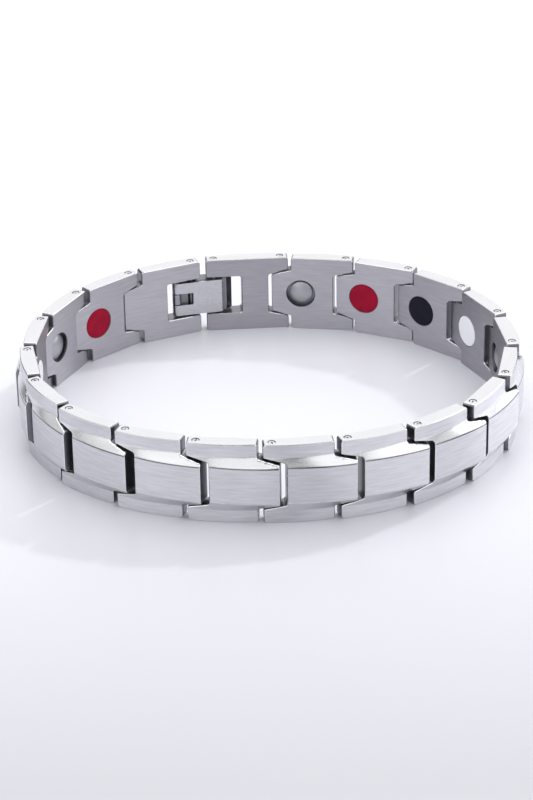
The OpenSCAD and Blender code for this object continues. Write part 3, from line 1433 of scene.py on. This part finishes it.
        # The bore's walls take the dark steel: painted shade in the bore.
        return revolved(profile, Zone.CUT, self.round_steps // 2).shifted(along, 0)

    def _socket(self, radius: float) -> Shell:
        """Give the shape of an inset's socket, with its broken edge.

        Args:
            radius: The socket's radius.

        Returns:
            The closed shape to cut away.
        """
        flare = radius + self.socket_rim + self.socket_past
        profile = [
            (radius, -self.socket_depth),
            (radius, -self.socket_rim),
            (flare, self.socket_past),
        ]
        # The socket's walls take the dark steel: painted shade in the groove round the inset.
        socket = revolved(profile, Zone.CUT, self.round_steps)
        sit = Matrix.Translation((self.inset_place, self.inner_face, 0))
        return socket.moved(sit @ Matrix.Rotation(-math.pi / 2, 4, "X"))

    def mesh(self, number: int) -> bpy.types.Mesh:
        """Build a link's mesh in its own millimetres.

        Args:
            number: The link's number.

        Returns:
            The mesh.
        """
        cutters = [self._pin_bore(0.0), self._pin_bore(self.pitch)]
        if 0 < number < LAST:
            magnet = Inset.of_link(number) is Inset.MAGNET
            cutters.append(self._socket(self.magnet_socket if magnet else self.disc_socket))
        return cut(self._plate(number).mesh("link"), cutters)

    def make_all(self, chain: Chain, shop: Workshop) -> None:
        """Build all twenty links.

        Args:
            chain: The places of the links.
            shop: Sets the pieces into the frame.
        """
        ends = {0: "pivot_end_link", LAST: "hook_end_link"}
        blanks: dict[str, bpy.types.Mesh] = {}
        for number in range(LAST + 1):
            node = ends.get(number, f"link_{number:02d}")
            magnet = Inset.of_link(number) is Inset.MAGNET
            kind = ends.get(number, "magnet" if magnet else "disc")
            if kind not in blanks:
                blanks[kind] = self.mesh(number)
            blank = blanks[kind].copy()
            shop.place(blank, node, "plate", chain.link(number), shop.finishes.link, "steel")
        for blank in blanks.values():
            bpy.data.meshes.remove(blank)


@dataclass
class InsetSet:
    """The round insets in the wrist side of the links."""

    place: float
    face: float = 1.02
    depth: float = 0.89
    radius: float = 2.5
    edge: float = 0.07
    edge_steps: int = 3
    shoulder: float = 0.6
    shoulder_rise: float = 0.012
    crown_rise: float = 0.02
    magnet_radius: float = 1.9
    dome: float = 0.5
    dome_steps: int = 8
    round_steps: int = 64

    def _disc(self) -> Shell:
        """Build a disc with a rounded edge and a slight crown.

        Returns:
            The closed disc, standing on its back at Z = 0.
        """
        top = self.depth
        profile = [(self.radius, 0.0), (self.radius, top - self.edge)]
        for step in range(1, self.edge_steps + 1):
            angle = math.pi / 2 * step / self.edge_steps
            radius = self.radius - self.edge * (1 - math.cos(angle))
            profile.append((radius, top - self.edge * (1 - math.sin(angle))))
        profile.append((self.radius * self.shoulder, top + self.shoulder_rise))
        profile.append((0.0, top + self.crown_rise))
        return revolved(profile, Zone.BRUSHED, self.round_steps)

    def _dome(self) -> Shell:
        """Build a magnet with a domed face.

        Returns:
            The closed magnet, standing on its back at Z = 0.
        """
        rim = self.depth - self.dome
        ball = (self.magnet_radius**2 + self.dome**2) / (2 * self.dome)
        start = math.asin(self.magnet_radius / ball)
        profile = [(self.magnet_radius, 0.0)]
        for step in range(self.dome_steps):
            angle = start * (1 - step / self.dome_steps)
            height = rim + self.dome - ball * (1 - math.cos(angle))
            profile.append((ball * math.sin(angle), height))
        profile.append((0.0, self.depth))
        return revolved(profile, Zone.POLISHED, self.round_steps)

    def make_all(self, chain: Chain, shop: Workshop) -> None:
        """Build all the insets.

        Args:
            chain: The places of the links.
            shop: Sets the pieces into the frame.
        """
        sit = Matrix.Translation((self.place, self.face - self.depth, 0))
        sit = sit @ Matrix.Rotation(-math.pi / 2, 4, "X")
        for number in range(1, LINKS + 1):
            kind = Inset.of_link(number)
            magnet = kind is Inset.MAGNET
            shell = self._dome() if magnet else self._disc()
            shop.place(
                shell.moved(sit).mesh("inset"),
                f"{kind.value}_{number:02d}",
                "dome" if magnet else "disc",
                chain.link(number),
                shop.finishes.insets[kind],
                kind.value,
            )


@dataclass
class RolledPin:
    """A pin rolled from strip, open along a slit."""

    half_width: float
    radius: float = 0.5
    hollow: float = 0.16
    slit: float = 0.12
    sink: float = 0.08
    edge: float = 0.04
    turn_step: float = math.radians(137.5)
    round_steps: int = 30

    def shell(self, slit_angle: float) -> Shell:
        """Build a pin.

        Args:
            slit_angle: Where the slit lies round the pin, in radians.

        Returns:
            The closed pin.
        """
        outline = Outline(self._strip(), arc_steps=1)
        pin = prism(outline, self.half_width - self.sink, self.edge, Zone.SATIN)
        return pin.moved(Matrix.Rotation(slit_angle, 4, "Z"))

    def _strip(self) -> list[Corner]:
        """Give the corners of the rolled strip in plan, clockwise.

        Returns:
            The corners, round the outside and back along the hollow.
        """
        corners = []
        for radius, way in ((self.radius, -1), (self.hollow, 1)):
            start = math.asin(self.slit / 2 / radius)
            sweep = 2 * (math.pi - start)
            first = start if way > 0 else 2 * math.pi - start
            for step in range(self.round_steps + 1):
                angle = first + way * sweep * step / self.round_steps
                corners.append(Corner(*spoke(radius, angle)))
        return corners

    def make_all(self, chain: Chain, shop: Workshop) -> None:
        """Build the pins between the links.

        Args:
            chain: The places of the pins.
            shop: Sets the pieces into the frame.
        """
        for number in range(LAST):
            pin = self.shell(self.turn_step * number).mesh("pin")
            node = f"link_pin_{number:02d}"
            here = chain.upright(number)
            shop.place(pin, node, "roll", here, shop.finishes.pin, "pin_steel")


# The clasp


@dataclass
class ClaspSizes:
    """The clasp's sizes. X runs from the pivot pin to the hooked pin, Y to the wrist."""

    span: float = 3.9
    pin_radius: float = 0.5
    bore_radius: float = 0.56
    hook_radius: float = 0.6
    half_height: float = 2.9
    hinge_ahead: float = 2.5
    hinge_pin: float = 0.35
    hinge_bore: float = 0.4
    hinge_gap: float = 0.08
    hinge_edge: float = 0.05
    knuckle_radius: float = 0.75
    knuckle_half: float = 0.925
    knuckle_edge: float = 0.06
    cover_thickness: float = 0.65
    cover_reach: float = 1.3
    window_length: float = 2.65
    base_reach: float = 3.1
    base_step: float = 0.7
    base_end: float = 0.25
    base_outer: float = 1.7
    base_inner: float = 0.5
    tight_corner: float = 0.1
    small_corner: float = 0.2
    soft_corner: float = 0.3
    end_corner: float = 0.45

    def __post_init__(self) -> None:
        """Work out the cover's faces and the hinge's place."""
        self.cover_low = self.base_inner + self.hinge_gap
        self.cover_high = self.cover_low + self.cover_thickness
        self.hinge_x = self.span + self.hinge_ahead
        self.hinge_y = self.cover_high - self.knuckle_radius


@dataclass
class Clasp:
    """The fold-over clasp: base, cover and the three pins that it turns on."""

    sizes: ClaspSizes
    pin: RolledPin
    hooked_slit: float = math.radians(60)
    pivot_slit: float = math.radians(200)
    round_steps: int = 32
    edge: float = 0.09
    skin: float = 0.01
    past: float = 1.0
    window_past: float = 2.0
    far: float = 20.0

    SHARP: ClassVar[float] = math.radians(40)

    def _hinge_rod(self, radius: float, half: float, edge: float = 0.0) -> Shell:
        """Give a rod round the hinge.

        Args:
            radius: Its radius.
            half: Half its length.
            edge: Width of the chamfer round each end.

        Returns:
            The closed rod.
        """
        s = self.sizes
        return rod(radius, half, self.round_steps, edge).shifted(s.hinge_x, s.hinge_y)

    @staticmethod
    def _block(low: Point, high: Point) -> Shell:
        """Give a plain block between two corners, to cut with.

        Args:
            low: The lowest corner.
            high: The highest corner.

        Returns:
            The closed block.
        """
        plan = ((low[0], low[1]), (low[0], high[1]), (high[0], high[1]), (high[0], low[1]))
        outline = Outline([Corner(*place) for place in plan])
        block = prism(outline, (high[2] - low[2]) / 2, 0.0, Zone.SATIN)
        return block.shifted(0, 0, (high[2] + low[2]) / 2)

    def _arc(self, radius: float, x: float, y: float, start: float, finish: float) -> list[Corner]:
        """Give corners along an arc.

        Args:
            radius: The arc's radius.
            x: Its middle towards the hooked pin.
            y: Its middle towards the wrist.
            start: Its first angle, in degrees.
            finish: Its last angle, in degrees.

        Returns:
            The corners.
        """
        steps = self.round_steps // 2
        corners = []
        for step in range(steps + 1):
            angle = math.radians(start + (finish - start) * step / steps)
            across, up = spoke(radius, angle)
            corners.append(Corner(x + across, y + up))
        return corners

    @staticmethod
    def _finish(mesh: bpy.types.Mesh, zone: Zone, low: Point, high: Point) -> None:
        """Give the faces between two corners a finish.

        Args:
            mesh: The mesh, in the clasp's millimetres.
            zone: The finish.
            low: The lowest corner.
            high: The highest corner.
        """
        for face in mesh.polygons:
            middle = face.center
            if all(low[axis] < middle[axis] < high[axis] for axis in range(3)):
                face.material_index = zone.value

    def _softened(self, mesh: bpy.types.Mesh, depth: float) -> bpy.types.Mesh:
        """Break the sharp edges, and leave both ends of the width dull.

        Args:
            mesh: The mesh to soften, which is then removed.
            depth: How far in from the ends the faces are dull.

        Returns:
            The softened mesh.
        """
        result = modified(
            mesh,
            "BEVEL",
            width=self.edge,
            segments=2,
            limit_method="ANGLE",
            angle_limit=self.SHARP,
            material=Zone.POLISHED.value,
        )
        far = self.far
        rim = self.sizes.half_height - depth
        for low, high in ((rim, far), (-far, -rim)):
            self._finish(result, Zone.CUT, (-far, -far, low), (far, far, high))
        return result

    def cover(self) -> bpy.types.Mesh:
        """Build the cover plate that folds over the hooked pin.

        Returns:
            The mesh, in the clasp's millimetres.
        """
        s = self.sizes
        corners = [
            Corner(-s.cover_reach, s.cover_low, s.tight_corner),
            Corner(-s.cover_reach, s.cover_high, s.soft_corner),
            *self._arc(s.knuckle_radius, s.hinge_x, s.hinge_y, 90, -180),
            Corner(s.hinge_x - s.knuckle_radius, s.cover_low),
        ]
        plate = prism(Outline(corners), s.half_height, 0.0, Zone.BRUSHED).mesh("cover")
        half = s.knuckle_half + s.hinge_gap
        low, high = s.cover_low - self.window_past, s.cover_high + self.window_past
        end = s.hinge_x + 2 * s.knuckle_radius
        window = self._block((s.hinge_x - s.window_length, low, -half), (end, high, half))
        bore = self._hinge_rod(s.hinge_bore, s.half_height + self.past)
        return self._softened(cut(cut(plate, [window]), [bore]), self.skin)

    def base(self) -> bpy.types.Mesh:
        """Build the base, with its pivot, its hook and its middle knuckle.

        Returns:
            The mesh, in the clasp's millimetres.
        """
        s = self.sizes
        end = s.hinge_x + s.base_end
        corners = [
            Corner(-s.base_reach, -s.base_outer, s.small_corner),
            Corner(-s.base_reach, -s.base_inner, s.small_corner),
            Corner(-s.cover_reach - s.base_step, s.base_inner, s.soft_corner),
            Corner(s.span - s.hook_radius, s.base_inner, s.tight_corner),
            *self._arc(s.hook_radius, s.span, 0.0, 180, 360),
            Corner(s.span + s.hook_radius, s.base_inner),
            Corner(end, s.base_inner),
            Corner(end, -s.base_outer, s.end_corner),
        ]
        body = prism(Outline(corners), s.half_height, 0.0, Zone.SATIN).mesh("base")
        past = s.half_height + self.past
        shift = (past + s.knuckle_half) / 2
        half = (past - s.knuckle_half) / 2
        relief = self._hinge_rod(s.knuckle_radius + s.hinge_gap, half)
        body = cut(body, [relief.shifted(0, 0, side * shift) for side in (-1, 1)])
        body = cut(body, [rod(s.bore_radius, past, self.round_steps)])
        body = self._softened(body, self.edge)
        self._base_faces(body)
        knuckle = self._hinge_rod(s.knuckle_radius, s.knuckle_half, s.knuckle_edge)
        bore = self._hinge_rod(s.hinge_bore, s.half_height)
        joined = bmesh.new()
        for part in (body, cut(knuckle.mesh("knuckle"), [bore])):
            joined.from_mesh(part)
        joined.to_mesh(body)
        joined.free()
        return body

    def _base_faces(self, body: bpy.types.Mesh) -> None:
        """Give the base's outside its brushed finish, and paint shade into the faces under the
        cover.

        Args:
            body: The base's mesh, in the clasp's millimetres.
        """
        s = self.sizes
        far = self.far
        rim = s.half_height - self.edge
        outside = -s.base_outer + self.skin
        self._finish(body, Zone.BRUSHED, (-far, -far, -rim), (far, outside, rim))
        # The faces under the cover take the dark steel: painted shade.
        self._finish(body, Zone.CUT, (-s.cover_reach, 0.0, -far), (far, far, far))

    def pins(self) -> bpy.types.Mesh:
        """Build the clasp's three pins in its own axes.

        Returns:
            The hooked pin, the pivot pin and the hinge pin.
        """
        s = self.sizes
        pins = self.pin.shell(self.pivot_slit)
        pins.merge(self.pin.shell(self.hooked_slit).shifted(s.span, 0))
        half = s.half_height - s.hinge_edge
        pins.merge(self._hinge_rod(s.hinge_pin, half, s.hinge_edge))
        mesh = pins.mesh("pins")
        # The hooked pin, under the cover, takes the dark steel: painted shade.
        low = (s.span - self.past, -self.past, -s.half_height)
        high = (s.span + self.past, self.past, s.half_height)
        self._finish(mesh, Zone.CUT, low, high)
        return mesh

    def make_all(self, chain: Chain, shop: Workshop) -> None:
        """Build the clasp.

        Args:
            chain: The place of the clasp.
            shop: Sets the pieces into the frame.
        """
        here = chain.clasp()
        steel = shop.finishes.clasp
        shop.place(self.base(), "clasp_base", "plate", here, steel, "clasp_steel")
        shop.place(
            self.cover(), "clasp_cover", "plate", here, steel, "clasp_steel", "clasp_cover"
        )
        pins = shop.finishes.pin
        shop.place(self.pins(), "clasp_pins", "rolled", here, pins, "pin_steel")


# The studio


@dataclass(frozen=True)
class SoftBox:
    """A rectangular studio light, aimed at the bracelet. Angles are in degrees."""

    name: str
    azimuth: float
    elevation: float
    distance: float
    width: float
    height: float
    radiance: float
    colour: Colour = (1.0, 1.0, 1.0)
    diffuse: bool = True
    glossy: bool = True

    def build(self) -> None:
        """Build the light."""
        turn = math.radians(self.azimuth)
        rise = math.radians(self.elevation)
        flat = math.cos(rise)
        away = Vector((math.sin(turn) * flat, math.cos(turn) * flat, math.sin(rise)))
        data = bpy.data.lights.new(self.name, "AREA")
        data.shape = "RECTANGLE"
        data.size = self.width
        data.size_y = self.height
        data.energy = self.radiance * math.pi * self.width * self.height
        data.color = self.colour
        light = bpy.data.objects.new(self.name, data)
        light.location = away * self.distance
        light.visible_diffuse = self.diffuse
        light.visible_glossy = self.glossy
        light.rotation_mode = "QUATERNION"
        light.rotation_quaternion = (-away).to_track_quat("-Z", "Y")
        bpy.context.scene.collection.objects.link(light)


@dataclass
class Studio:
    """Pale floor, soft light and the camera. The camera's place is in millimetres."""

    groups: GroupLibrary
    floor_half: float = 3.0
    floor_parts: int = 24
    image_height: float = 800.0
    focal_pixels: float = 2700.0
    sensor: float = 36.0
    nearest: float = 0.01
    farthest: float = 20.0
    camera_place: Point = (-0.62, -376.2, 192.8)
    pitch: float = 26.81
    roll: float = -1.0
    world_colour: Colour = (0.93, 0.94, 1.0)
    world_strength: float = 0.10

    # Name, azimuth, elevation, distance, width, height and radiance.
    BOXES: ClassVar[tuple[SoftBox, ...]] = (
        SoftBox("overhead", 0, 76, 1.1, 1.5, 1.3, 2.3),
        SoftBox("back", 5, 26, 1.2, 1.7, 0.7, 1.2),
        SoftBox("front", 171.5, 32, 1.25, 0.42, 1.1, 0.08),
        SoftBox("front_left", 211, 30, 1.2, 1.36, 1.15, 1.02),
        SoftBox("front_right", 141, 30, 1.2, 1.0, 1.15, 1.15),
        SoftBox("side_left", 265, 28, 1.2, 1.4, 1.05, 0.7),
        SoftBox("side_right", 106, 26, 1.2, 0.98, 0.95, 0.62),
        SoftBox("right", 72, 24, 1.18, 1.0, 0.9, 1.9, diffuse=False),
        SoftBox("key", 39, 42, 1.0, 0.10, 0.10, 40.0, (1.0, 0.99, 0.98), diffuse=False),
        SoftBox("shadow_key", 45, 36.5, 2.0, 0.11, 0.11, 345.0, glossy=False),
    )

    def floor(self) -> None:
        """Build the floor."""
        grid = bmesh.new()
        bmesh.ops.create_grid(
            grid,
            x_segments=self.floor_parts,
            y_segments=self.floor_parts,
            size=self.floor_half,
        )
        mesh = bpy.data.meshes.new("floor")
        grid.to_mesh(mesh)
        grid.free()
        store_places(mesh, 1 / MM, 0.0)
        mesh.materials.append(SatinFloor().build(self.groups))
        floor = bpy.data.objects.new("floor", mesh)
        bpy.context.scene.collection.objects.link(floor)
        floor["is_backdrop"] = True

    def world(self) -> None:
        """Build the soft light from all round."""
        world = bpy.data.worlds.new("studio")
        world.use_nodes = True
        background = world.node_tree.nodes["Background"]
        background.inputs["Color"].default_value = (*self.world_colour, 1.0)
        background.inputs["Strength"].default_value = self.world_strength
        bpy.context.scene.world = world

    def camera(self) -> None:
        """Build the camera at the photograph's angle."""
        data = bpy.data.cameras.new("camera")
        data.sensor_width = self.sensor
        data.lens = self.focal_pixels / self.image_height * self.sensor
        data.clip_start = self.nearest
        data.clip_end = self.farthest
        camera = bpy.data.objects.new("camera", data)
        tilt = Matrix.Rotation(math.radians(90 - self.pitch), 4, "X")
        spin = Matrix.Rotation(math.radians(self.roll), 4, "Z")
        place = Matrix.Translation(Vector(self.camera_place) * MM)
        camera.matrix_world = place @ tilt @ spin
        bpy.context.scene.collection.objects.link(camera)
        bpy.context.scene.camera = camera

    def build(self) -> None:
        """Build the whole studio."""
        self.floor()
        self.world()
        for box in self.BOXES:
            box.build()
        self.camera()
        bpy.context.scene.view_settings.view_transform = "Standard"
        bpy.context.scene.view_settings.look = "None"


def main() -> None:
    """Build the bracelet's looks and its studio."""
    logging.basicConfig(level=logging.INFO, format="%(message)s")
    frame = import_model()
    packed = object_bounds()
    sizes = ClaspSizes()
    chain = Chain(frame, sizes, *packed)
    shop = Workshop(Finishes())
    links = PlateLink(chain.half_width)
    pin = RolledPin(chain.half_width)
    for part in (links, InsetSet(links.inset_place), pin, Clasp(sizes, pin)):
        part.make_all(chain, shop)
    for zone in Zone:
        bpy.data.materials.remove(filler(zone))
    Studio(shop.finishes.groups).build()


if __name__ == "__main__":
    main()
